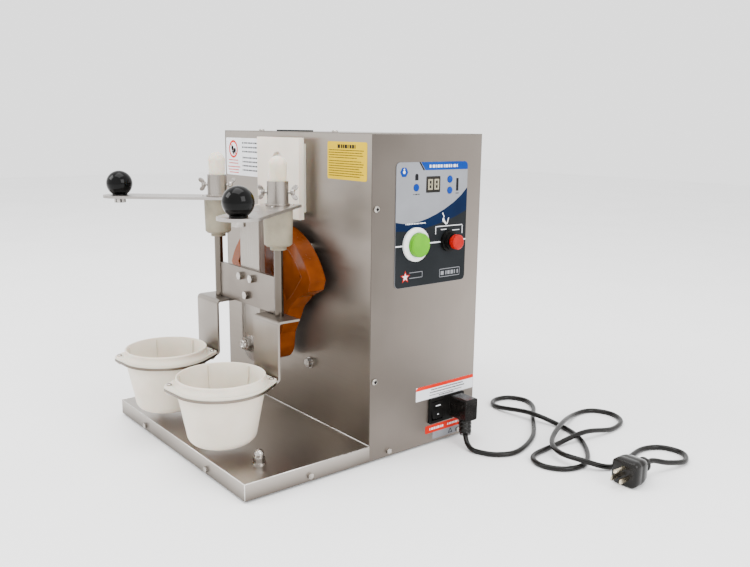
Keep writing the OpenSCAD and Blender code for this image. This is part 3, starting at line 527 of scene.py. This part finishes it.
CORD_D = 7.0
LIE = CORD_D / 2  # height of the centre line on the floor
OVER = LIE + CORD_D + 1  # where a strand crosses another
NEAR = LIE + 0.7  # just before and after a crossing
RELIEF_TOP = (205, 149.5, 38)  # where the strain relief leaves the connector
CONNECTOR_EXIT = (217, 139, 17)
PLUG_X, PLUG_Z = 424, 17  # axis of the plug, along y
CORD_ROUTE = [
    CONNECTOR_EXIT, (227.5, 134, 7), (244, 132, LIE), (269, 146, LIE), (279, 178, LIE),
    (256, 236, LIE), (206, 296, LIE), (178, 330, LIE), (150, 344, LIE), (124, 331, LIE),
    (121, 302, LIE), (144, 284, NEAR), (206, 288, OVER), (254, 298, NEAR), (298, 284, LIE),
    (338, 250, LIE), (360, 214, LIE), (354, 182, LIE), (328, 167, LIE), (302, 182, LIE),
    (297, 236, LIE + 0.5), (304, 290, OVER), (310, 346, NEAR), (299, 386, LIE), (271, 402, LIE),
    (243, 388, LIE), (240, 350, NEAR), (264, 290, OVER + 0.4), (294, 230, OVER + 0.2),
    (326, 204, OVER), (362, 206, OVER + 0.2), (386, 232, NEAR), (384, 274, LIE), (378, 318, LIE),
    (391, 345, LIE), (419, 350, LIE), (436, 326, NEAR), (432, 292, 10), (425, 268, 16.8),
    (PLUG_X, 256, PLUG_Z),
]


def spline(p, i, t):
    """Point at share t of the smooth curve between points i and i + 1."""
    a, b = Vector(p[max(i - 1, 0)]), Vector(p[i])
    c, d = Vector(p[i + 1]), Vector(p[min(i + 2, len(p) - 1)])
    return 0.5 * (2 * b + (c - a) * t + (2 * a - 5 * b + 4 * c - d) * t ** 2
                  + (3 * b - a - 3 * c + d) * t ** 3)


def add_cord():
    """Mains cord from the connector to the plug, lying in loose folds on the floor."""
    steps = 6
    falling = 8  # points still above the floor
    line = [spline(CORD_ROUTE, i, k / steps) for i in range(len(CORD_ROUTE) - 1) for k in range(steps)]
    line.append(Vector(CORD_ROUTE[-1]))
    for p in line[falling:]:
        p.z = max(p.z, LIE)
    data = bpy.data.curves.new("cord", "CURVE")
    data.dimensions = "3D"
    data.bevel_depth = CORD_D / 2 * MM
    data.bevel_resolution = 5
    data.use_fill_caps = True
    strand = data.splines.new("POLY")
    strand.points.add(len(line) - 1)
    for point, p in zip(strand.points, line):
        point.co = (*(p * MM), 1)
    strand.use_smooth = True
    data.materials.append(sheath)
    cord = bpy.data.objects.new("cord", data)
    bpy.context.scene.collection.objects.link(cord)
    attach(cord, "housing")
    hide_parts("power_cord")


def plug_section(y, w, h, r, n=8):
    """Rounded section of the plug across its length."""
    line = (arc((w - r, h - r), r, 0, 90, n) + arc((r - w, h - r), r, 90, 180, n)
            + arc((r - w, r - h), r, 180, 270, n) + arc((w - r, r - h), r, 270, 360, n))
    return [(PLUG_X + u, y, PLUG_Z + v) for u, v in line]


def add_plug():
    """Plug body with its relief, two flat blades and a round earth pin."""
    shape = [(204, 15.8, 14.8, 6), (205, 17.2, 16.2, 7), (216, 17.3, 16.3, 7), (218, 16.6, 15.6, 7),
             (220, 17.2, 16.2, 7), (226, 16.6, 15.6, 7), (233, 14.5, 13.5, 6.5), (240, 10.6, 10.4, 6),
             (244, 7.6, 7.6, 7.2), (245, 7.4, 7.4, 7.3), (246, 9.4, 9.4, 9.3), (249, 9.4, 9.4, 9.3),
             (250, 7, 7, 6.9), (251, 5.6, 5.6, 5.5), (253, 5.6, 5.6, 5.5), (254, 5, 5, 4.9),
             (256, 4.6, 4.6, 4.5)]
    body = swept("plug_body", [plug_section(*s) for s in shape], sheath)
    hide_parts("power_plug")
    blade_x, blade_z, blade_h = 6.35, PLUG_Z - 7.5, 6.3
    verts, faces = [], []
    for s in (-1, 1):
        x, k = PLUG_X + s * blade_x, len(verts)
        for y, half, low, high in (
                (204, 0.75, 0, blade_h), (188.5, 0.75, 0, blade_h), (186.5, 0.4, 1, 5.3)):
            verts += [(u, y, blade_z + v) for u, v in rect(x - half, low, x + half, high)]
        faces += skin(k, 4, 3) + caps(k, 4, 3)
    n, k = 20, len(verts)
    for y, r in ((204, 2.4), (185.5, 2.4), (184, 1.9), (183.1, 0.9)):
        verts += ring(Vector((PLUG_X, y, 24.5)), r, Vector((1, 0, 0)), Vector((0, 0, 1)), n)
    faces += skin(k, n, 4) + caps(k, n, 4)
    tidy_normals(mesh_object("plug_blades", verts, faces, brass))


# ---- printed panel on the right side ----

FIELD = FACE + 0.1  # face of the charcoal field
BLUE_FIELD = FACE + 0.12  # face of the blue and navy fields
MARK = FACE + 0.17  # face of the marks on the charcoal field
BADGE = (50, 372)
STAR = (55, 238)
CORNER_R = 6  # corners of the panel


def side(points):
    """Points given by depth from the front face and height above the skirt's lower edge."""
    return [(y + FRONT, up(z)) for y, z in points]


def on_side(outlines):
    """The same for a list of outlines."""
    return [side(line) for line in outlines]


def strips(u0, v0, u1, v1, w, h):
    """Four strips along the inside of a rectangle: level ones h high, upright ones w wide."""
    return [rect(u0, v0, u1, v0 + h), rect(u0, v1 - h, u1, v1), rect(u0, v0, u0 + w, v1),
            rect(u1 - w, v0, u1, v1)]


def add_panel_fields():
    """Coloured fields of the panel: navy sweep, charcoal foot, blue header and badge."""
    top = [(37.5, 309.5), (50, 307.3), (62, 307), (78, 308.6), (92, 311.8), (106, 316.2), (122, 322.6),
           (139, 331.2), (152, 340), (162.5, 349.4)]
    low = [(37.5, 298.3), (62, 296.8), (90, 299.6), (118, 305), (142, 311.6), (162.5, 319.2)]
    foot = ([(162.4, 236)] + arc((156.3, 230.5), CORNER_R, 0, -90, 6)
            + arc((43.7, 230.5), CORNER_R, -90, -180, 6))
    header = [(78.5, 384.2), (86, 373.8), (162.4, 373.8)] + arc((156.4, 378.2), CORNER_R, 0, 90, 6)
    badge = arc(BADGE, 6.6, 0, 360, 6)
    solids("panel_navy_band", [side(top + low[::-1])], FACE, BLUE_FIELD, to_side, print_navy)
    solids("panel_charcoal_field", [side(low + foot)], FACE, FIELD, to_side, print_dark)
    solids("panel_blue_header", [side(header)], FACE, BLUE_FIELD, to_side, print_blue)
    solids("panel_badge", [side(badge)], FACE, BLUE_FIELD, to_side, print_blue)


def add_panel_marks():
    """Generic marks in place of the panel's words, drawings and star."""
    white = print_lines([(93, 144, 376.9, 3.6)], 4.4, 3)
    white += [arc(BADGE, 2.1, 0, 360, 12), arc((BADGE[0], BADGE[1] + 3.4), 1.1, 0, 360, 10)]
    # lines beside the buttons
    white += [rect(37.6, 278, 49.6, 279.6), rect(93.4, 278.6, 117, 280.2), rect(145, 279, 162.3, 280.6)]
    white += print_lines([(54, 88, 305.6, 1.5)], 2.6, 1.9)
    # small drawing of a hand above a block, and the frame of the tag below
    white += [[(118, 309), (120.5, 312), (122, 308), (119.6, 305)],
              [(120.5, 312), (117.6, 317.5), (118.7, 318), (122, 312)],
              [(122, 308), (126.4, 302.5), (124.8, 301.6), (120.6, 305.6)],
              [(126, 303), (129, 311), (130.2, 310.4), (127.4, 302)]]
    white += [rect(106, 290, 107, 300), rect(106, 299.4, 156, 300.4), rect(155, 288, 156, 300.4),
              rect(116, 295, 126, 296), rect(137, 293, 150, 294)]
    solids("panel_white_marks", on_side(white), BLUE_FIELD, FACE + 0.2, to_side, print_white)

    grey = strips(115.3, 231.5, 153, 242.8, 0.7, 0.8)
    grey += print_lines([(118, 150, 234.4, 5.2)], 5.4, 3.6)
    grey += [rect(62, 235.4, 84.6, 236.2), rect(62, 242.6, 84.6, 243.4), rect(84, 235.4, 84.8, 243.4)]
    solids("panel_grey_marks", on_side(grey), FIELD, MARK, to_side, print_grey)

    # star with an outline, its points and notches in turn
    turns = [(math.radians(36 * k), r) for k, r in enumerate([8.6, 3.4] * 5)]
    for name, size, low, high, ink in (("outline", 1, FIELD, MARK, print_red),
                                       ("middle", 0.62, MARK, MARK + 0.05, print_white)):
        star = [(STAR[0] + size * r * math.sin(a), STAR[1] + size * r * math.cos(a)) for a, r in turns]
        solids(f"panel_star_{name}", [side(star)], low, high, to_side, ink)

    black = [rect(68.6, 361.4, 74.2, 367), rect(141.6, 345.6, 146, 362.3),
             [(75, 384.2), (82.5, 373.8), (85.2, 373.8), (77.7, 384.2)],
             rect(141, 342, 147, 343), arc((71.4, 367), 2.8, 0, 180, 8)]
    black += print_lines([(66, 77, 343, 1.3)], 2.2, 1.5)
    solids("panel_black_marks", on_side(black), FACE, FIELD, to_side, print_black)


def add_digits():
    """Two unlit seven-segment digits in the display window."""
    level = FACE + 0.2  # face of the display window
    digits, holes = [], []
    for y0 in (91.2, 102.2):
        digits.append(side(rect(y0, 348.6, y0 + 8, 362.2)))
        for z0 in (350.6, 356.4):
            holes.append(side(rect(y0 + 2.3, z0, y0 + 5.7, z0 + 3.8)))
        holes.append(side(rect(y0 + 1.3, 355.2, y0 + 6.7, 355.6)))
    solids("display_digits", digits, level, level + INK, to_side, segment)
    solids("display_gaps", holes, level + INK, level + 2 * INK, to_side, window)


# ---- labels ----


def add_front_labels():
    """Yellow notice and white warning label on the front sheet."""
    paper, ink = FRONT - PAPER, FRONT - PAPER - INK
    yellow = round_rect(90, up(361), 172.5, up(408.6), 3)
    solids("yellow_label", [yellow], FRONT, paper, to_front, print_yellow)
    missing = (0, 3, 1, 14, 5, 0, 2, 9, 4, 0, 7)  # how much shorter each row is
    rows = [(93, 166 - cut, up(397.4 - 3.1 * k - 1.2 * (k > 3)), 1) for k, cut in enumerate(missing)]
    notice = print_lines(rows, 2.5, 2.1) + print_lines([(112, 150, up(400.4), 4.6)], 4.6, 3.6)
    solids("yellow_label_print", notice, paper, ink, to_front, print_black)

    white = round_rect(-179, up(353), -56, up(409), 2)
    solids("white_label", [white], FRONT, paper, to_front, print_white)
    sign = annulus((-157, up(392)), 13.4, 10.2, 0, 40)
    sign.append([(-165.4, up(399)), (-164, up(400.4)), (-148.6, up(385)), (-150, up(383.6))])
    rows = [(u0, u1, up(h), 1.5) for u0, u1, h in (
        (-171, -143, 374.6), (-171, -143, 370), (-175, -137, 364.6),
        (-173, -141, 360.2), (-170, -142, 356))]
    solids("white_label_red_print", sign + print_lines(rows, 2.4, 2.1), paper, ink, to_front, print_red)
    rows = [(-130, -60, up(h), 2.3) for h in (400.6, 394.2, 387.8, 378.8, 372.8, 366.8, 360.4)]
    figure = [arc((-160, up(393.6)), 3.8, 0, 360, 10), arc((-153, up(390)), 4, 0, 360, 10),
              [(-162, up(388)), (-158, up(391)), (-154, up(384)), (-156, up(383))]]
    solids("white_label_black_print", print_lines(rows, 3.2, 2.4) + figure, paper, ink, to_front,
           print_black)


def add_side_labels():
    """Labels above and below the inlet, the earth sign and the rocker's marks."""
    x, paper, ink = SIDE, SIDE + 0.15, SIDE + 0.2
    solids("inlet_label", [side(rect(79.4, 63.7, 188.4, 83.4))], x, paper, to_side, print_white)
    strip = [(79.4, 78.4), (188.4, 78.4), (188.4, 83.4), (83, 83.4), (79.4, 81.6)]
    solids("inlet_label_strip", [side(strip)], paper, ink, to_side, print_red)
    rows = [(107, 168, 75, 1.6), (105, 171, 71.2, 1.6), (104, 166, 67.6, 1), (122, 150, 64.9, 1.6)]
    solids("inlet_label_print", on_side(print_lines(rows, 2.3, 2)), paper, ink, to_side, print_black)
    solids("earth_label", [side(round_rect(98, 13.6, 170, 24.8, 1.5))], x, paper, to_side, print_red)
    foot = round_rect(112, 3.4, 170, 13.5, 1)
    solids("earth_label_foot", [side(foot)], x, x + 0.14, to_side, print_grey)
    rows = [(106, 132, 17.4, 3.2), (140, 165, 17.8, 2.8)]
    solids("earth_label_print", on_side(print_lines(rows, 3.8, 2.9)), paper, ink, to_side, print_white)
    triangle = annulus((146, 7.8), 5, 3, 90, 3)
    solids("earth_sign", on_side(triangle), x + 0.14, ink, to_side, print_black)
    rocker = [rect(112.6, 52.2, 121.4, 53.4), arc((117, 39), 2, 0, 360, 14)]
    solids("rocker_marks", on_side(rocker), x + 4.6, x + 4.8, to_side, print_white)


# ---- thumb screws ----

SCREW_H = 345  # height of the thumb screws
SCREW_ANGLE = 50  # direction of their axes
WING_LEAN = 25  # of the wings out of the upright


def add_wing_screw(side_name, rod, turn, end):
    """Thumb screw: plain stem, round hub and two swept wings, in place of the simple one."""
    a = math.radians(SCREW_ANGLE + turn)
    d = Vector((math.cos(a), math.sin(a), 0))
    lean = math.radians(WING_LEAN)
    up_z = Vector((0, 0, 1))
    across = math.cos(lean) * up_z + math.sin(lean) * up_z.cross(d)
    flat = d.cross(across)
    axis = Vector((rod, out(ROD_OUT), up(SCREW_H)))
    turned = ((6.4, 1.6), (7, 2.0), (16.4, 2.0), (16.5, 3.6), (17.2, 4.3), (20.6, 4.3), (21.6, 3.6),
              (21.9, 1))
    n, half = 24, 1.0
    verts = [p for u, r in turned for p in ring(axis + d * u, r, across, flat, n)]
    faces = skin(0, n, len(turned)) + caps(0, n, len(turned))
    for w in (-1, 1):
        line = [(17.4, 2.5 * w), (17.6, 5.5 * w), (19.6, 8.6 * w), (22.4, 10.2 * w), (25, 9.6 * w),
                (25.8, 7.4 * w), (24.6, 5 * w), (22, 2.5 * w)]
        k, m = len(verts), len(line)
        for s in (-half, half):
            verts += [axis + d * u + across * v + flat * s for u, v in line]
        faces += caps(k, m, 2) + skin(k, m, 2)
    body = f"{side_name}_{end}_screw"
    screw = tidy_normals(mesh_object(f"{side_name}_thumb_screw_{end}", verts, faces, zinc, body))
    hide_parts(f"{side_name}_wing_screw_{end}")


# ---- bowls ----

BOWL_Y = out(156)
RING_TOP = up(108)  # where the bowls' flanges rest on the steel rings
EAR_ANGLE = math.radians(64)  # direction of one ear
EAR_OUT = 62.8  # distance of an ear's screw from the bowl's middle


def bowl_profile():
    """Bowl from the middle of its foot, up the outside, over the lip and down the inside."""
    outside = [(0.05, up(35))] + arc((30, up(49)), 14, -90, -4, 8)
    outside += [(54.9, RING_TOP - 4), (55, RING_TOP + 0.02), (58.4, RING_TOP + 0.1), (58.8, up(112)),
                (57, up(113.4)), (55.2, up(118.6)), (55.6, up(119.4)), (55.6, up(121)),
                (54.9, up(121.7))]
    inside = [(53.6, up(121.7)), (53, up(121)), (52.3, up(105))]
    inside += arc((30, up(49)), 11.4, -4, -90, 8) + [(0.05, up(37.6))]
    return outside + inside


def eye_outline(round_r, ear_r, turns=96):
    """Circle with a tapered ear on each side, as radii at even angles from the ears' line."""
    reach = []
    tangent = math.acos((round_r - ear_r) / EAR_OUT)
    for k in range(turns):
        a = abs(math.remainder(2 * math.pi * k / turns, math.pi))
        line = round_r / math.cos(a - tangent)
        root = ear_r ** 2 - (EAR_OUT * math.sin(a)) ** 2
        ear = EAR_OUT * math.cos(a) + math.sqrt(root) if root > 0 else 0
        if a > tangent:
            reach.append(round_r)
        elif ear * math.cos(a - tangent) <= round_r and ear:
            reach.append(ear)
        else:
            reach.append(line)
    return reach


def add_flange(name, x, low, high, round_r, ear_r, hole_r, material):
    """Flat ring round a bowl, its outer edge drawn out into two ears."""
    reach = eye_outline(round_r, ear_r)
    n = len(reach)
    verts = []
    for radii, z in ((reach, low), (reach, high), ([hole_r] * n, high), ([hole_r] * n, low)):
        verts += [(x + r * math.cos(EAR_ANGLE + 2 * math.pi * k / n),
                   BOWL_Y + r * math.sin(EAR_ANGLE + 2 * math.pi * k / n), z) for k, r in enumerate(radii)]
    faces = [(i * n + k, i * n + (k + 1) % n, (i + 1) % 4 * n + (k + 1) % n, (i + 1) % 4 * n + k)
             for i in range(4) for k in range(n)]
    tidy_normals(mesh_object(name, verts, faces, material, "shaker_frame"))


def add_ribs(name, x):
    """Six thin ribs down the inside of a bowl."""
    edge = [(41.4, 48), (52.5, 105), (53.4, 119.4), (51, 119.4), (50.2, 105), (39.4, 48)]
    m, half = len(edge), 0.6
    verts, faces = [], []
    for k in range(6):
        a = math.radians(50 + 60 * k)
        wide = Vector((-math.sin(a), math.cos(a), 0)) * half
        line = [Vector((x + r * math.cos(a), BOWL_Y + r * math.sin(a), up(h))) for r, h in edge]
        faces += caps(len(verts), m, 2) + skin(len(verts), m, 2)
        verts += [p + wide for p in line] + [p - wide for p in line]
    tidy_normals(mesh_object(name, verts, faces, bowl_plastic, "shaker_frame"))


def add_bowls():
    """Bowls with their lips, eared flanges and ribs, in place of the simple ones."""
    for name, s in SIDES:
        x = s * ROD_X
        bowl = lathe(f"{name}_cup_bowl", bowl_profile(), (x, BOWL_Y), bowl_plastic, "shaker_frame", 96)
        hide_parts(f"{name}_bowl")
        add_flange(f"{name}_bowl_flange", x, RING_TOP + 0.05, RING_TOP + 3.9, 60.2, 6.2, 54, bowl_plastic)
        add_flange(f"{name}_ring_edge", x, RING_TOP - 3.1, RING_TOP - 0.05, 61.4, 6.6, 57, ring_steel)
        add_ribs(f"{name}_bowl_ribs", x)


# ---- small hardware ----


def add_pin_end():
    """Threaded end of the crank pin, with a drilled centre, in front of its nut."""
    shape = ((75.2, 6.4), (80.2, 6.4), (81, 5.6), (81, 3.2), (78.6, 3.2))
    pin_z = up(130)
    sections = [ring(Vector((0, out(d), pin_z)), r, Vector((1, 0, 0)), Vector((0, 0, 1)), 32)
                for d, r in shape]
    swept("crank_pin_end", sections, zinc, "crank")


def add_relief():
    """Ribbed sleeve round the connector's strain relief."""
    a, b = Vector(RELIEF_TOP), Vector(CONNECTOR_EXIT)
    d = (b - a).normalized()
    u = d.cross(Vector((0, 0, 1))).normalized()
    profile = [(4, 8.6), (4.2, 9.3), (7, 9.2)]
    for k in range(3):
        groove, rib = 8.4 - 0.2 * k, 9.1 - 0.2 * k
        profile += [(7.4 + 5 * k, groove), (9 + 5 * k, groove - 0.1), (9.4 + 5 * k, rib)]
        if k < 2:
            profile.append((12 + 5 * k, rib - 0.1))
    profile += [(23.6, 8.4), (24.6, 7.4), (24.8, 4.6), (26.4, 4.2)]
    swept("connector_relief", [ring(a + d * t, r, u, d.cross(u), 32) for t, r in profile], sheath)


def bar(name, a, b, r, material):
    """Thin round bar from a to b."""
    a, b = Vector(a), Vector(b)
    d = (b - a).normalized()
    u = d.orthogonal().normalized()
    swept(name, [ring(p, r, u, d.cross(u), 12) for p in (a, b)], material)


def add_tray_folds():
    """Painted highlights: thin bright bars along the tray's folded edges, and along the seam where it meets
    the housing.
    """
    x, y, z, r = 182.7, -186.2, 23.7, 0.6
    for name, a, b in (("tray_fold_right", (x, y, z), (x, FRONT, z)),
                       ("tray_fold_left", (-x, y, z), (-x, FRONT, z)),
                       ("tray_fold_front", (-x, y, z), (x, y, z)),
                       ("tray_corner_right", (x, y, 3.6), (x, y, z)),
                       ("tray_corner_left", (-x, y, 3.6), (-x, y, z)),
                       ("tray_seam", (-181, FRONT, 24), (181, FRONT, 24))):
        bar(name, a, b, r, fold_highlight_steel)


def add_housing_hardware():
    """Bearing plate's bolts, painted shade in the side screws' drives and the top cover's rubber strip."""
    bolts = [(x, up(h)) for x in (-49, 49) for h in (102, 264)]
    heads = [arc(c, 6.6, 15, 375, 6) for c in bolts]
    washers = [arc(c, 7.8, 0, 360, 32) for c in bolts]
    # black discs: painted shade where the side screws' drive recesses are
    drive_shade = [arc((FRONT + 6.8, up(h)), 2, 0, 360, 16) for h in (107, 328)]
    strip = round_rect(-38, FRONT + 2, 38, FRONT + 15, 3)
    solids("side_screw_drive_shade", drive_shade, SIDE + 2.5, SIDE + 2.7, to_side, print_black)
    solids("panel_bolt_heads", heads, FRONT - 1.45, FRONT - 6.6, to_front, zinc)
    solids("panel_bolt_washers", washers, FRONT - 0.02, FRONT - 1.5, to_front, zinc)
    solids("top_strip", [strip], up(420), up(422.2), to_top, rubber)


def add_arm_hardware(name, s):
    """Nut under a knob and three rivets through its arm."""
    turn = math.radians(-50 if s > 0 else 230)
    ahead, aside = math.cos(turn), math.sin(turn)
    knob_reach = 139
    body = f"{name}_lever"

    def on_arm(along, across):
        """Place on the arm, from the rod's centre."""
        return (s * ROD_X + along * ahead - across * aside,
                out(ROD_OUT) + along * aside + across * ahead)

    nut = arc(on_arm(knob_reach, 0), 7.9, 10, 370, 6)
    solids(f"{name}_knob_nut", [nut], up(317.8), up(324.96), to_top, zinc, body)
    head = [(0.05, up(329.7)), (1.5, up(329.5)), (2.3, up(329)), (2.5, up(328.61))]
    for i, place in enumerate(((-13, 15), (-13, -15), (22, 0))):
        lathe(f"{name}_arm_rivet_{i}", head, on_arm(*place), zinc, body, 20)


def add_small_parts():
    """Thumb screws, bolts, strip, nuts and rivets."""
    for name, s in SIDES:
        for turn, end in ((180, "front"), (0, "back")):
            add_wing_screw(name, s * ROD_X, turn, end)
    add_housing_hardware()
    for name, s in SIDES:
        add_arm_hardware(name, s)


# ---- put it together ----

add_camera()
add_plug()
add_relief()
add_cord()
add_panel_fields()
add_panel_marks()
add_digits()
add_front_labels()
add_side_labels()
add_small_parts()
add_tray_folds()
add_bowls()
add_pin_end()

add_floor()
add_light("key", (-1.3, -2.2, 2.1), (0, 0, 0.2), (1.6, 1.4), 66)
add_light("side", (2.6, 0.2, 1.5), (0.1, 0, 0.2), (1.4, 1.6), 50)
add_light("top", (0.1, -0.2, 2.6), (0, 0, 0), (2.0, 2.0), 60)
add_world()
